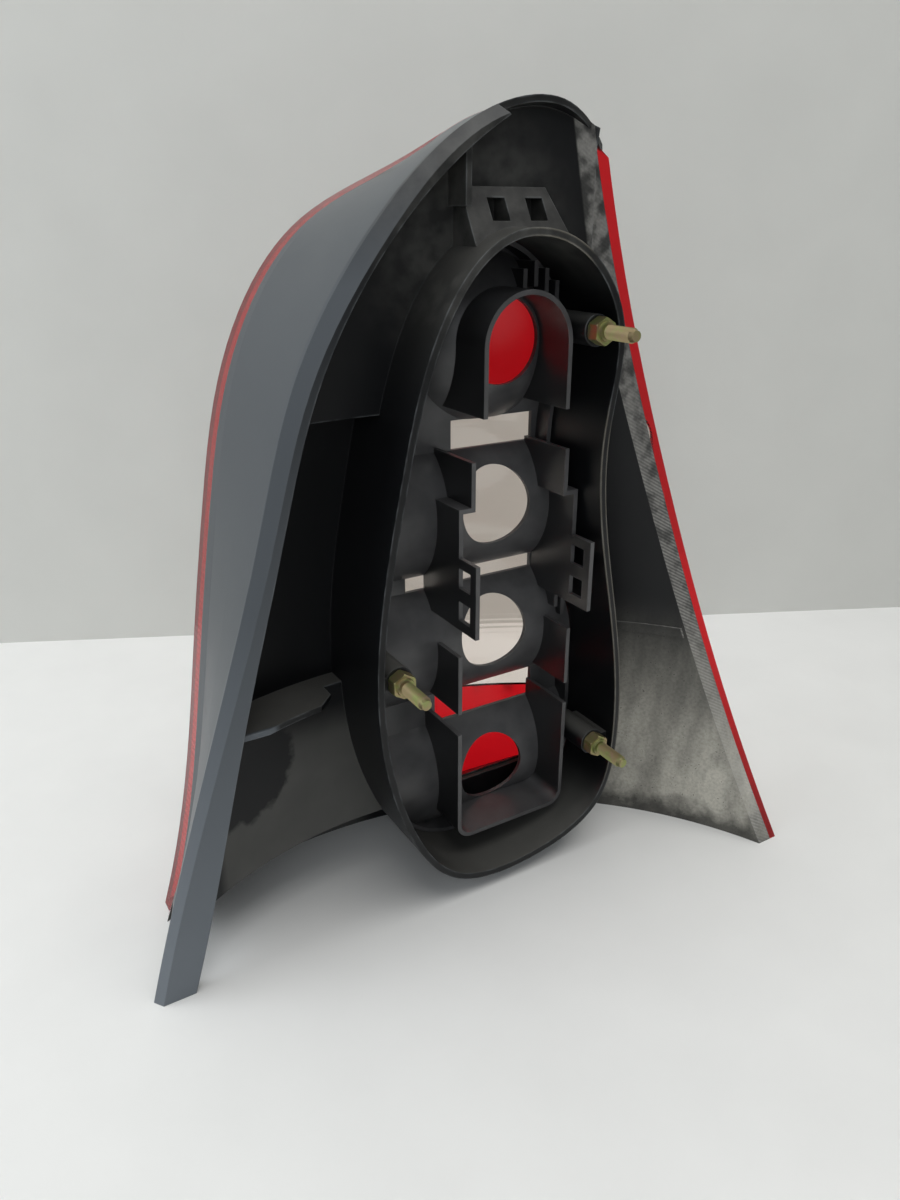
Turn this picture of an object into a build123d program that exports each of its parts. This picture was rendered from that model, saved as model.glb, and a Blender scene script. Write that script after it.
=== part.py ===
"""Corner tail lamp cluster: black moulded housing, reflector, two-colour lens and three fixing studs.

X runs to the right seen from the mounting side, Y from the mounting side to the lens, Z up.
The lamp stands on its lower edge at Z = 0, with the origin under the middle of its box.
"""
import os
from math import acos, degrees, radians, tan

from build123d import *

# Lens: a crowned shell turned about an upright axis
LENS_AXIS_X = -45.0
LENS_AXIS_Y = -147.0
LENS_RADIUS = 215.0
LENS_CROWN_RADIUS = 1900.0
LENS_CROWN_HEIGHT = 70.0
LENS_THICKNESS = 3.5
LENS_RIM_DEPTH = 10.0
WINDOW_BOTTOM = 68.0
WINDOW_TOP = 218.0
WINDOW_LEFT_MARGIN = 16.0
WINDOW_RIGHT = 112.0
WINDOW_CORNER = 14.0
WINDOW_LEAN = 8.0
WINDOW_NEAR_Y = -20.0

# Edge of the lamp: left edge and top, seen from the mounting side (X, Z)
EDGE_AT_LENS = [(-135, 0), (-119, 47), (-102.5, 133), (-92.5, 191), (-78.5, 248), (-45, 298), (4, 325)]
EDGE_AT_FLANGE = [(-156.5, 0), (-142.5, 47), (-112.5, 133), (-93, 191), (-74, 248), (-43, 296), (8, 338)]
EDGE_TOP = [(42, 341.5), (66, 333), (80, 324)]
# Right-hand end of the lamp, seen from the side (Y, Z)
EDGE_AT_RIGHT = [(-68.5, 0), (-30, 92), (-6.5, 184), (4.5, 255), (9, 330)]
RIGHT_END_START = 66.0

# Housing
WALL = 2.5
FLANGE_Y = -15.0
FLARE_START_Y = 40.0
NOSE_START_X = 8.0
NOSE_END_Y = 14.0
NOSE_OVER_LENS_X = 58.0
FLANGE_WIDTHS = [17.5, 17.5, 10.5, 8, 7.5, 6.5, 5.5]
FLANGE_THICKNESS = 6.0
FLANGE_CHAMFER = 4.5
FLANGE_FOOT_ANGLE = 15.0
PANEL_LOW_RADIUS = 160.0
PANEL_MID_RADIUS = 170.0
PANEL_TOP_RADIUS = 150.0
PANEL_SHELF_HEIGHT = 112.0
PANEL_STEP_HEIGHT = 229.0
SHELF_REACH = 14.0
SHELF_END_X = -62.0
BOTTOM_ANGLE = 34.0
RIGHT_DEPTH = 11.0
RIGHT_BAND_BOTTOM = 106.5
RIGHT_BAND_TOP = 111.5
RIGHT_BAND_RELIEF = 0.8

# Mounting pan: closed rim outline (X, Z), its plane and its wall
RIM_OUTLINE = [(20, 297), (51, 283), (63, 262), (60, 219), (68.5, 141), (78, 62), (69, 27), (28, 8),
               (-16, 14), (-40, 48), (-53, 128), (-40, 210), (-23, 264), (-5, 288)]
RIM_Y = -24.0
RIM_WALL = 3.0
PAN_BACK_Y = 26.0

# Fixing studs (X, Z) and their bosses
STUD_PLACES = {"stud_upper": (53.5, 258.0), "stud_left": (-41.0, 123.0), "stud_lower": (66.0, 60.0)}
STUD_RADIUS = 3.0
STUD_REACH = 18.0
STUD_TIP_CHAMFER = 0.8
HEX_FLATS = 10.0
HEX_THICKNESS = 5.5
SHANK_LENGTH = 12.0
SHANK_CLEARANCE = 0.1
BOSS_FACE_Y = -19.0
BOSS_RADIUS = 6.5
BOSS_LENGTH = 24.0
BOSS_RIB = 6.0
BOSS_REACH = 16.0

# Reflector: four bowls with bulb holes, walls that guide the bulb carrier
REFLECTOR_CLEARANCE = 0.4
REFLECTOR_WALL = 2.0
BAND_INSET = RIM_WALL + REFLECTOR_CLEARANCE
BOWL_MIDDLE_X = 24.5
DOME_BOTTOM = 219.0
BARREL_SPANS = [(150, 206), (87, 143), (14, 71)]
GAP_SIDES = [(8, 51), (-16, 53), (-1, 56)]
BULB_HEIGHTS = [253.0, 181.0, 118.5, 43.0]
BULB_HOLE_RADIUS = 18.0
BOWL_FRONT_Y = 8.0
BOWL_EDGE_Y = 21.0
BAND_START_Y = 12.0
GUIDE_HALF_WIDTH = 30.0
GUIDE_NARROW_HALF_WIDTH = 24.0
GUIDE_NEAR_Y = -10.0
LATCH_NEAR_Y = -23.5
LATCH_WINDOW = 9.0
GUIDE_TOP = 208.0
GUIDE_STEP = 188.0
LATCH_TOP = 168.0
LATCH_BOTTOM = 135.0
GUIDE_LOWER_TOP = 121.0
GUIDE_LOWER_BOTTOM = 92.0
BOX_TOP = 81.0
BOX_BOTTOM = 22.5
BOX_CORNER = 8.0
ARCH_NEAR_Y = -13.0
ARCH_RADIUS = 21.5
DOME_RADIUS = 44.0
DOME_FRONT_Y = 3.0
GUIDES = [
    (GUIDE_NARROW_HALF_WIDTH, GUIDE_STEP, GUIDE_TOP, GUIDE_NEAR_Y),
    (GUIDE_HALF_WIDTH, LATCH_TOP, GUIDE_STEP, GUIDE_NEAR_Y),
    (GUIDE_HALF_WIDTH, LATCH_BOTTOM, LATCH_TOP, LATCH_NEAR_Y),
    (GUIDE_HALF_WIDTH, GUIDE_LOWER_BOTTOM, GUIDE_LOWER_TOP, GUIDE_NEAR_Y),
]
ARCH_FOOT = 226.0
RIB_PLACES = [(34, 276), (39.5, 279), (45, 276), (50.5, 271), (58, 131), (62, 126)]
RIB_NEAR_Y = 5.0
RIB_HEIGHT = 10.0

# Lug above the pan and web plate under the top
LUG_LEFT = -2.0
LUG_RIGHT = 44.0
LUG_TOP = 311.0
LUG_NEAR_Y = -14.0
LUG_TOP_Y = -2.0
LUG_BOTTOM = 290.0
LUG_LEAN = 7.0
LUG_WINDOW = 8.0
LUG_WINDOWS = [(12.5, 303.0), (30.0, 303.0)]
WEB_X = -4.0
WEB_BOTTOM = 304.0

# Construction limits that lie outside the lamp
FAR = 400.0
FAR_RIGHT = 190.0
BACK_Y = 95.0
FRONT_Y = -90.0
OVER_TOP = 380.0
UNDER_FOOT = 20.0

lens_axis = Axis((LENS_AXIS_X, LENS_AXIS_Y, 0), (0, 0, 1))
axis_plane = Plane(origin=(LENS_AXIS_X, LENS_AXIS_Y, 0), x_dir=(-1, 0, 0), z_dir=(0, 1, 0))
flat_plane = Plane(origin=(LENS_AXIS_X, LENS_AXIS_Y, 0), x_dir=(0, 1, 0), z_dir=(1, 0, 0))
skirt_y = FLANGE_Y + (FLANGE_THICKNESS + FLANGE_CHAMFER) / 2
bottom_slope = tan(radians(BOTTOM_ANGLE))
os.makedirs("parts", exist_ok=True)


def upright(y):
    """Plane that faces the mounting side at depth y: its own x is X and its own y is Z."""
    return Plane.XZ.offset(-y)


def inset_points(points, inset, closed=False):
    """Points of an edge that runs clockwise, each moved inwards across the edge by its share of inset."""
    insets = inset if isinstance(inset, list) else [inset] * len(points)
    last = len(points) - 1
    moved = []
    for index, (x, z) in enumerate(points):
        before = points[index - 1] if closed else points[max(index - 1, 0)]
        after = points[(index + 1) % len(points)] if closed else points[min(index + 1, last)]
        along = (Vector(*after) - Vector(*before)).normalized()
        moved.append((x + along.Y * insets[index], z - along.X * insets[index]))
    return moved


def crown(depth):
    """Radius of the crown arc and of the lens at its widest, depth inside the outer face."""
    return LENS_CROWN_RADIUS - depth, LENS_RADIUS - depth


def crown_point(depth, z):
    """Point (radius, height) of the surface that lies depth inside the lens's outer face."""
    arc_radius, widest = crown(depth)
    return widest - arc_radius + (arc_radius ** 2 - (z - LENS_CROWN_HEIGHT) ** 2) ** 0.5, z


def crown_arc(depth, low, high):
    """Upright arc of the surface that lies depth inside the lens's outer face."""
    return ThreePointArc(*[crown_point(depth, z) for z in (low, (low + high) / 2, high)])


def shell(outer_depth, inner_depth, low):
    """Half-turn shell between two depths inside the lens's outer face, from height low upwards."""
    with BuildPart() as body:
        with BuildSketch(axis_plane):
            with BuildLine():
                outer = crown_arc(outer_depth, low, OVER_TOP)
                inner = crown_arc(inner_depth, low, OVER_TOP)
                Line(outer @ 0, inner @ 0)
                Line(outer @ 1, inner @ 1)
            make_face()
        revolve(axis=lens_axis, revolution_arc=-180)
    return body.part


def envelope_face(y, edge, inset):
    """Upright face at depth y, to the right of an edge and under the top, moved inwards by inset."""
    points = inset_points(edge + EDGE_TOP, inset)
    with BuildSketch(upright(y)) as face:
        with BuildLine():
            Spline(points)
            Polyline(points[-1], (FAR_RIGHT, points[-1][1]), (FAR_RIGHT, -UNDER_FOOT),
                     (points[0][0], -UNDER_FOOT), points[0])
        make_face()
    return face.sketch


def envelope(inset):
    """Filled form inside the lamp's left edge and top, moved inwards by inset."""
    at_lens = envelope_face(FLARE_START_Y, EDGE_AT_LENS, inset)
    at_flange = envelope_face(FLANGE_Y, EDGE_AT_FLANGE, inset)
    with BuildPart() as body:
        loft([at_lens, at_flange], ruled=True)
        extrude(at_lens, amount=FLARE_START_Y - BACK_Y)
        extrude(at_flange, amount=FLANGE_Y - FRONT_Y)
    return body.part


def right_end(inset):
    """Body to cut away in front of the right-hand end, moved inwards by inset."""
    points = [(y + inset, z) for y, z in EDGE_AT_RIGHT]
    with BuildPart() as body:
        with BuildSketch(Plane.YZ.offset(RIGHT_END_START)):
            with BuildLine():
                Spline(points)
                Polyline(points[-1], (points[-1][0], OVER_TOP), (-FAR, OVER_TOP), (-FAR, -UNDER_FOOT),
                         (points[0][0], -UNDER_FOOT), points[0])
            make_face()
        extrude(amount=FAR)
    return body.part


def left_end(inset):
    """Body to cut away in front of the left-hand end, where the flange stands, moved inwards by inset."""
    with BuildPart() as body:
        with Locations((LENS_AXIS_X, skirt_y + inset, 0)):
            Box(FAR, FAR, 2 * FAR, align=(Align.MAX, Align.MAX, Align.CENTER))
    return body.part


def panel_section(plane, inset):
    """Section of the left-hand chamber (radius, height) on a plane, its walls moved inwards by inset."""
    beyond = LENS_RADIUS + WALL
    low, mid, top = (radius + inset for radius in (PANEL_LOW_RADIUS, PANEL_MID_RADIUS, PANEL_TOP_RADIUS))
    shelf = PANEL_SHELF_HEIGHT - inset
    step = PANEL_STEP_HEIGHT + inset
    foot, heel = ((LENS_RADIUS - radius) * bottom_slope + inset for radius in (beyond, low))
    with BuildSketch(plane) as section:
        with BuildLine():
            Polyline((beyond, foot), (low, heel), (low, shelf), (mid, shelf), (mid, step),
                     (top, step), (top, OVER_TOP), (beyond, OVER_TOP), close=True)
        make_face()
    return section.sketch


def chamber(form, inset, lens_depth):
    """Space within a form between back panel and lens, its walls moved inwards by inset."""
    with BuildPart() as body:
        revolve(panel_section(axis_plane, inset), axis=lens_axis, revolution_arc=-90)
        extrude(panel_section(flat_plane, inset), amount=FAR_RIGHT)
        add(shell(lens_depth, LENS_RADIUS / 2, -UNDER_FOOT), mode=Mode.INTERSECT)
        add(shell(lens_depth, RIGHT_DEPTH - inset, inset))
        add(form, mode=Mode.INTERSECT)
        add(left_end(inset), mode=Mode.SUBTRACT)
        add(right_end(inset), mode=Mode.SUBTRACT)
    return body.part


def pan(inset, near_y, far_y):
    """Filled form of the mounting pan between two depths, its outline moved inwards by inset."""
    with BuildPart() as body:
        with BuildSketch(upright(near_y)):
            with BuildLine():
                Spline(inset_points(RIM_OUTLINE, inset, closed=True), periodic=True)
            make_face()
        extrude(amount=near_y - far_y)
    return body.part


def inside_lens(low=-UNDER_FOOT):
    """Room on the mounting side of the lens's inner face."""
    return shell(LENS_THICKNESS, LENS_RADIUS / 2, low)


def over_bottom():
    """Room above the sloping bottom of the housing, carried on towards the mounting side."""
    with BuildPart() as body:
        with BuildSketch(axis_plane):
            with BuildLine():
                near = LENS_RADIUS / 2
                far = LENS_RADIUS
                Polyline((far, 0), (near, (far - near) * bottom_slope), (near, OVER_TOP),
                         (far, OVER_TOP), close=True)
            make_face()
        revolve(axis=lens_axis, revolution_arc=-180)
    return body.part


def dome_arc(depth):
    """Section arc of the dome (distance from its middle, Y), depth inside its near face."""
    sweep = degrees(acos((DOME_RADIUS - BOWL_EDGE_Y + DOME_FRONT_Y) / DOME_RADIUS))
    return CenterArc((0, DOME_FRONT_Y + DOME_RADIUS), DOME_RADIUS - depth, -90, sweep)


def barrel_arc(depth, low, high):
    """Upright section arc (Y, Z) of a barrel-shaped bowl, depth behind its near face."""
    edge = BOWL_EDGE_Y + depth
    return ThreePointArc((edge, low), (BOWL_FRONT_Y + depth, (low + high) / 2), (edge, high))


# Forms that several pieces share
outer_form = envelope(0)
inner_form = envelope(WALL)
middle_form = envelope(WALL / 2)
lens_room = inside_lens()
above_bottom = over_bottom()

# Room of the lens's rim, which turns towards the mounting side along the left edge and the top
with BuildPart() as rim_room:
    add(shell(LENS_THICKNESS / 2, LENS_RIM_DEPTH, 0))
    add(inner_form, mode=Mode.SUBTRACT)
    split(bisect_by=Plane.YZ.offset(NOSE_START_X), keep=Keep.BOTTOM)

# Room of the top's right-hand nose, which closes over the corner of the lens
with BuildPart() as nose_room:
    add(shell(0, LENS_RADIUS / 2, 0))
    add(outer_form, mode=Mode.INTERSECT)
    add(inner_form, mode=Mode.SUBTRACT)
    split(bisect_by=Plane.YZ.offset(NOSE_OVER_LENS_X), keep=Keep.TOP)

# Lens: one shell, parted into the red body and the clear window
window_left = [x for x, z in EDGE_AT_LENS if z > WINDOW_BOTTOM][0] + WINDOW_LEFT_MARGIN

with BuildPart() as lens_red:
    add(shell(0, LENS_THICKNESS, 0))
    add(rim_room.part)
    add(outer_form, mode=Mode.INTERSECT)
    add(right_end(0), mode=Mode.SUBTRACT)
    add(nose_room.part, mode=Mode.SUBTRACT)
    whole_lens = lens_red.part
    with BuildSketch(upright(WINDOW_NEAR_Y)) as window:
        with BuildLine():
            Polyline((window_left - WINDOW_LEAN, WINDOW_BOTTOM), (window_left + WINDOW_LEAN, WINDOW_TOP),
                     (WINDOW_RIGHT - WINDOW_LEAN, WINDOW_TOP), (WINDOW_RIGHT, WINDOW_BOTTOM), close=True)
        make_face()
        fillet(window.vertices(), radius=WINDOW_CORNER)
    extrude(amount=WINDOW_NEAR_Y - BACK_Y, mode=Mode.SUBTRACT)
lens_red.part.label = "lens_red"
export_step(lens_red.part, "parts/lens_red.step")

with BuildPart() as lens_clear:
    add(whole_lens)
    extrude(window.sketch, amount=WINDOW_NEAR_Y - BACK_Y, mode=Mode.INTERSECT)
lens_clear.part.label = "lens_clear"
export_step(lens_clear.part, "parts/lens_clear.step")

# Flange strip with its tongue, chamfered along the outer edge
with BuildPart() as flange:
    with BuildSketch(upright(FLANGE_Y)):
        beyond_points = inset_points(EDGE_AT_FLANGE, -FLANGE_WIDTHS[0])
        inner_points = inset_points(EDGE_AT_FLANGE, FLANGE_WIDTHS)
        with BuildLine():
            Spline(beyond_points)
            Spline(inner_points)
            Line(beyond_points[0], inner_points[0])
            Line(beyond_points[-1], inner_points[-1])
        make_face()
    extrude(amount=-FLANGE_THICKNESS)
    add(outer_form, mode=Mode.INTERSECT)
    front = flange.faces().sort_by(Axis.Y)[0]
    outer_edge = front.edges().sort_by(Edge.length)[-2:].sort_by(Axis.X)[0]
    chamfer(outer_edge, length=FLANGE_CHAMFER)
    foot_plane = Plane.XY.rotated((0, -FLANGE_FOOT_ANGLE, 0)).moved(Pos(EDGE_AT_FLANGE[0][0], 0, 0))
    split(bisect_by=foot_plane, keep=Keep.TOP)

# Skirt: wall behind the flange along the left edge and the top
with BuildPart() as skirt:
    add(outer_form)
    add(inner_form, mode=Mode.SUBTRACT)
    add(lens_room, mode=Mode.INTERSECT)
    add(nose_room.part)
    with BuildSketch(Plane.XY.offset(-UNDER_FOOT)):
        with BuildLine():
            nose = EDGE_TOP[-1][0]
            Line((-FAR_RIGHT, skirt_y), (NOSE_START_X, skirt_y))
            TangentArc((NOSE_START_X, skirt_y), (nose, NOSE_END_Y), tangent=(1, 0))
            Polyline((nose, NOSE_END_Y), (nose, BACK_Y), (-FAR_RIGHT, BACK_Y), (-FAR_RIGHT, skirt_y))
        make_face()
    extrude(amount=UNDER_FOOT + OVER_TOP, mode=Mode.INTERSECT)
    add(above_bottom, mode=Mode.INTERSECT)

# Collar of the mounting pan
with BuildPart() as collar:
    add(pan(0, RIM_Y, PAN_BACK_Y))
    add(pan(RIM_WALL, RIM_Y, PAN_BACK_Y), mode=Mode.SUBTRACT)
    add(shell(LENS_THICKNESS + REFLECTOR_CLEARANCE, LENS_RADIUS / 2, 0), mode=Mode.INTERSECT)

# Housing
top_panel_y = LENS_AXIS_Y + PANEL_TOP_RADIUS + WALL / 2

with BuildPart() as housing:
    add(chamber(outer_form, 0, LENS_THICKNESS))
    add(skirt.part)
    add(flange.part)
    # Shelf between the middle and the lower panel
    with BuildSketch(Plane.XY.offset(PANEL_SHELF_HEIGHT - WALL)) as shelf_plan:
        with Locations((LENS_AXIS_X, LENS_AXIS_Y)):
            Circle(PANEL_MID_RADIUS)
            Circle(PANEL_LOW_RADIUS - SHELF_REACH, mode=Mode.SUBTRACT)
        with BuildLine():
            Polyline((-FAR_RIGHT, skirt_y), (SHELF_END_X - SHELF_REACH, skirt_y),
                     (SHELF_END_X, skirt_y + SHELF_REACH), (SHELF_END_X, BACK_Y),
                     (-FAR_RIGHT, BACK_Y), close=True)
        make_face(mode=Mode.INTERSECT)
    shelf = extrude(amount=WALL, mode=Mode.PRIVATE)
    add(shelf & middle_form)
    # Lug above the pan, with its sloping face and two windows
    with BuildSketch(Plane.YZ.offset(LUG_LEFT)):
        with BuildLine():
            Polyline((LUG_NEAR_Y, LUG_BOTTOM), (LUG_TOP_Y, LUG_TOP), (top_panel_y, LUG_TOP),
                     (top_panel_y, LUG_BOTTOM), close=True)
        make_face()
    lug = extrude(amount=LUG_RIGHT - LUG_LEFT, mode=Mode.PRIVATE)
    with BuildSketch(upright(LUG_NEAR_Y)):
        with BuildLine():
            Polyline((LUG_LEFT, LUG_TOP), (LUG_RIGHT - LUG_LEAN, LUG_TOP), (LUG_RIGHT, LUG_BOTTOM),
                     (LUG_LEFT, LUG_BOTTOM), close=True)
        make_face()
        with Locations(*LUG_WINDOWS):
            Rectangle(LUG_WINDOW, LUG_WINDOW, mode=Mode.SUBTRACT)
    add(lug & extrude(amount=LUG_NEAR_Y - top_panel_y, mode=Mode.PRIVATE))
    # Web plate under the top
    with BuildSketch(Plane.YZ.offset(WEB_X)):
        with BuildLine():
            Polyline((skirt_y, WEB_BOTTOM), (top_panel_y, WEB_BOTTOM), (top_panel_y, EDGE_TOP[0][1]),
                     (skirt_y, EDGE_TOP[0][1]), close=True)
        make_face()
    web = extrude(amount=WALL, mode=Mode.PRIVATE)
    add(web & middle_form)
    # Hollow between the back panel and the lens, and the seat of the lens's rim
    add(chamber(inner_form, WALL, -LENS_THICKNESS), mode=Mode.SUBTRACT)
    add(rim_room.part, mode=Mode.SUBTRACT)
    # Raised band across the right-hand panel
    with BuildSketch(Plane.XY.offset(RIGHT_BAND_BOTTOM)):
        with Locations((RIGHT_END_START, 0)):
            Rectangle(FAR, FAR, align=(Align.MIN, Align.CENTER))
    band_room = extrude(amount=RIGHT_BAND_TOP - RIGHT_BAND_BOTTOM, mode=Mode.PRIVATE)
    band = band_room & shell(RIGHT_DEPTH - WALL / 2, RIGHT_DEPTH + RIGHT_BAND_RELIEF, 0)
    add(band - right_end(WALL / 2))
    # Opening for the bulb carrier, lined by the collar of the mounting pan
    add(pan(RIM_WALL / 2, FRONT_Y, PAN_BACK_Y), mode=Mode.SUBTRACT)
    add(collar.part)
    # Plate that closes the pan where it reaches below the sloping bottom
    plate = pan(0, PAN_BACK_Y - WALL, PAN_BACK_Y + WALL / 2)
    plate_top = (LENS_AXIS_Y + LENS_RADIUS - PAN_BACK_Y) * bottom_slope + WALL / 2
    add(split(plate, bisect_by=Plane.XY.offset(plate_top), keep=Keep.BOTTOM, mode=Mode.PRIVATE))
    # Bosses that carry the studs
    for x, z in STUD_PLACES.values():
        outwards = 1 if x > BOWL_MIDDLE_X else -1
        with BuildSketch(upright(BOSS_FACE_Y)):
            with Locations((x, z)):
                Circle(BOSS_RADIUS)
            with Locations((x + outwards * BOSS_REACH / 2, z)):
                Rectangle(BOSS_REACH, BOSS_RIB)
        boss = extrude(amount=-BOSS_LENGTH, mode=Mode.PRIVATE)
        add(boss & pan(RIM_WALL / 2, RIM_Y, PAN_BACK_Y))
        with Locations(upright(BOSS_FACE_Y) * Pos(x, z)):
            Hole(STUD_RADIUS + SHANK_CLEARANCE, depth=SHANK_LENGTH + SHANK_CLEARANCE)
    split(bisect_by=Plane.XY, keep=Keep.TOP)
housing.part.label = "housing"
export_step(housing.part, "parts/housing.step")

# Reflector
bowl_back = BOWL_EDGE_Y + REFLECTOR_WALL
dome_plane = Plane(origin=(BOWL_MIDDLE_X, 0, BULB_HEIGHTS[0]), x_dir=(1, 0, 0), z_dir=(0, 0, 1))
dome_axis = Axis(dome_plane.origin, (0, 1, 0))

# Dome round the top bulb, with a flat plate out to the band
with BuildPart() as dome:
    with BuildSketch(dome_plane):
        with BuildLine():
            outer = dome_arc(0)
            inner = dome_arc(REFLECTOR_WALL)
            Line(outer @ 0, inner @ 0)
            Line(outer @ 1, inner @ 1)
        make_face()
    revolve(axis=dome_axis)
    with BuildSketch(upright(BOWL_EDGE_Y)):
        with Locations((BOWL_MIDDLE_X, BULB_HEIGHTS[0])):
            Circle(FAR)
            Circle((outer @ 1).X - REFLECTOR_WALL, mode=Mode.SUBTRACT)
    extrude(amount=-REFLECTOR_WALL)
    split(bisect_by=Plane.XY.offset(DOME_BOTTOM), keep=Keep.TOP)
    add(pan(BAND_INSET + REFLECTOR_WALL / 2, RIM_Y, BACK_Y), mode=Mode.INTERSECT)

# Three barrel-shaped bowls under the dome, with plates that close the ends of the gaps between them
gap_bottoms = [high for low, high in BARREL_SPANS]
gap_tops = [DOME_BOTTOM] + [low for low, high in BARREL_SPANS]

with BuildPart() as barrels:
    for low, high in BARREL_SPANS:
        with BuildSketch(Plane.YZ):
            with BuildLine():
                outer = barrel_arc(0, low, high)
                inner = barrel_arc(REFLECTOR_WALL, low, high)
                Line(outer @ 0, inner @ 0)
                Line(outer @ 1, inner @ 1)
            make_face()
        extrude(amount=FAR_RIGHT, both=True)
    for low, high, (left, right) in zip(gap_bottoms, gap_tops, GAP_SIDES):
        with BuildSketch(upright(BOWL_EDGE_Y)):
            with Locations(((left + right) / 2, (low + high) / 2)):
                Rectangle(FAR, high - low + REFLECTOR_WALL)
                Rectangle(right - left, high - low, mode=Mode.SUBTRACT)
        extrude(amount=-REFLECTOR_WALL)
    add(pan(BAND_INSET + REFLECTOR_WALL / 2, RIM_Y, BACK_Y), mode=Mode.INTERSECT)

# Room on the lens side of the four bowls, where no guide wall stands
with BuildPart() as bowl_rooms:
    with BuildSketch(dome_plane):
        with BuildLine():
            inner = dome_arc(REFLECTOR_WALL / 2)
            Polyline(inner @ 0, (0, bowl_back), ((inner @ 1).X, bowl_back), inner @ 1)
        make_face()
    revolve(axis=dome_axis)
    split(bisect_by=Plane.XY.offset(DOME_BOTTOM), keep=Keep.TOP)
    for low, high in BARREL_SPANS:
        with BuildSketch(Plane.YZ):
            with BuildLine():
                inner = barrel_arc(REFLECTOR_WALL / 2, low, high)
                Line(inner @ 0, inner @ 1)
            make_face()
        extrude(amount=FAR_RIGHT, both=True)
    add(pan(BAND_INSET + REFLECTOR_WALL, RIM_Y, BACK_Y), mode=Mode.INTERSECT)

with BuildPart() as reflector:
    # Band that follows the pan's wall and joins the bowls
    add(pan(BAND_INSET, BAND_START_Y, bowl_back))
    add(pan(BAND_INSET + REFLECTOR_WALL, BAND_START_Y, bowl_back), mode=Mode.SUBTRACT)
    # Walls that guide and latch the bulb carrier
    for side in (-1, 1):
        for half_width, low, high, near_y in GUIDES:
            with Locations((BOWL_MIDDLE_X + side * half_width, (near_y + BOWL_EDGE_Y) / 2, (low + high) / 2)):
                Box(REFLECTOR_WALL, BOWL_EDGE_Y - near_y, high - low)
        step_middle = BOWL_MIDDLE_X + side * (GUIDE_HALF_WIDTH + GUIDE_NARROW_HALF_WIDTH) / 2
        step_width = GUIDE_HALF_WIDTH - GUIDE_NARROW_HALF_WIDTH + REFLECTOR_WALL
        with Locations((step_middle, (GUIDE_NEAR_Y + BOWL_EDGE_Y) / 2, GUIDE_STEP)):
            Box(step_width, BOWL_EDGE_Y - GUIDE_NEAR_Y, REFLECTOR_WALL)
        with Locations(*[(BOWL_MIDDLE_X + side * GUIDE_HALF_WIDTH, LATCH_NEAR_Y + LATCH_WINDOW, z)
                         for z in (LATCH_BOTTOM + LATCH_WINDOW, LATCH_TOP - LATCH_WINDOW)]):
            Box(2 * REFLECTOR_WALL, LATCH_WINDOW, LATCH_WINDOW, mode=Mode.SUBTRACT)
    # Upright ribs beside the bulb carrier
    with Locations(*[(x, (RIB_NEAR_Y + BOWL_EDGE_Y) / 2, z) for x, z in RIB_PLACES]):
        Box(REFLECTOR_WALL, BOWL_EDGE_Y - RIB_NEAR_Y, RIB_HEIGHT)
    # Box round the lowest bulb, open at its top
    with BuildSketch(upright(GUIDE_NEAR_Y)):
        for inset, mode in ((0, Mode.ADD), (REFLECTOR_WALL, Mode.SUBTRACT)):
            half = GUIDE_HALF_WIDTH + REFLECTOR_WALL / 2 - inset
            left = BOWL_MIDDLE_X - half
            right = BOWL_MIDDLE_X + half
            floor = BOX_BOTTOM + inset
            with BuildLine():
                FilletPolyline((left, BOX_TOP), (left, floor), (right, floor), (right, BOX_TOP),
                               radius=BOX_CORNER - inset)
                Line((right, BOX_TOP), (left, BOX_TOP))
            make_face(mode=mode)
    extrude(amount=GUIDE_NEAR_Y - BOWL_EDGE_Y)
    # Arch round the top bulb
    with BuildSketch(upright(ARCH_NEAR_Y)):
        for radius, mode in ((ARCH_RADIUS, Mode.ADD), (ARCH_RADIUS - REFLECTOR_WALL, Mode.SUBTRACT)):
            with Locations((BOWL_MIDDLE_X, BULB_HEIGHTS[0])):
                Circle(radius, mode=mode)
                Rectangle(2 * radius, BULB_HEIGHTS[0] - ARCH_FOOT, align=(Align.CENTER, Align.MAX), mode=mode)
    extrude(amount=ARCH_NEAR_Y - BOWL_EDGE_Y)
    add(bowl_rooms.part, mode=Mode.SUBTRACT)
    # Bowls and their bulb holes
    add(dome.part)
    add(barrels.part)
    for z in BULB_HEIGHTS:
        with BuildSketch(upright(RIM_Y)):
            with Locations((BOWL_MIDDLE_X, z)):
                Circle(BULB_HOLE_RADIUS)
        extrude(amount=RIM_Y - BACK_Y, mode=Mode.SUBTRACT)
reflector.part.label = "reflector"
export_step(reflector.part, "parts/reflector.step")

# Fixing studs
for name, (x, z) in STUD_PLACES.items():
    with BuildPart() as stud:
        with BuildSketch(upright(BOSS_FACE_Y)):
            with Locations((x, z)):
                RegularPolygon(HEX_FLATS / 2, side_count=6, major_radius=False)
        extrude(amount=HEX_THICKNESS)
        with BuildSketch(upright(BOSS_FACE_Y + SHANK_LENGTH)):
            with Locations((x, z)):
                Circle(STUD_RADIUS)
        extrude(amount=SHANK_LENGTH + HEX_THICKNESS + STUD_REACH)
        chamfer(stud.edges().group_by(Axis.Y)[0], length=STUD_TIP_CHAMFER)
    stud.part.label = name
    export_step(stud.part, f"parts/{name}.step")
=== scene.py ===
# %% [markdown]
# # A corner tail lamp, seen from its mounting side
#
# The lamp was taken off a car and stands on its lower edge. We look into the side that is hidden
# against the body: a black moulded housing, the pan that the bulb carrier goes into, the reflector
# at the bottom of that pan, and three threaded studs. The red lens shows along the edges and
# through the bulb holes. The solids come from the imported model, so this script only dresses them.

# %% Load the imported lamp
import math

import bmesh
import bpy
from mathutils import Matrix, Vector


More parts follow.
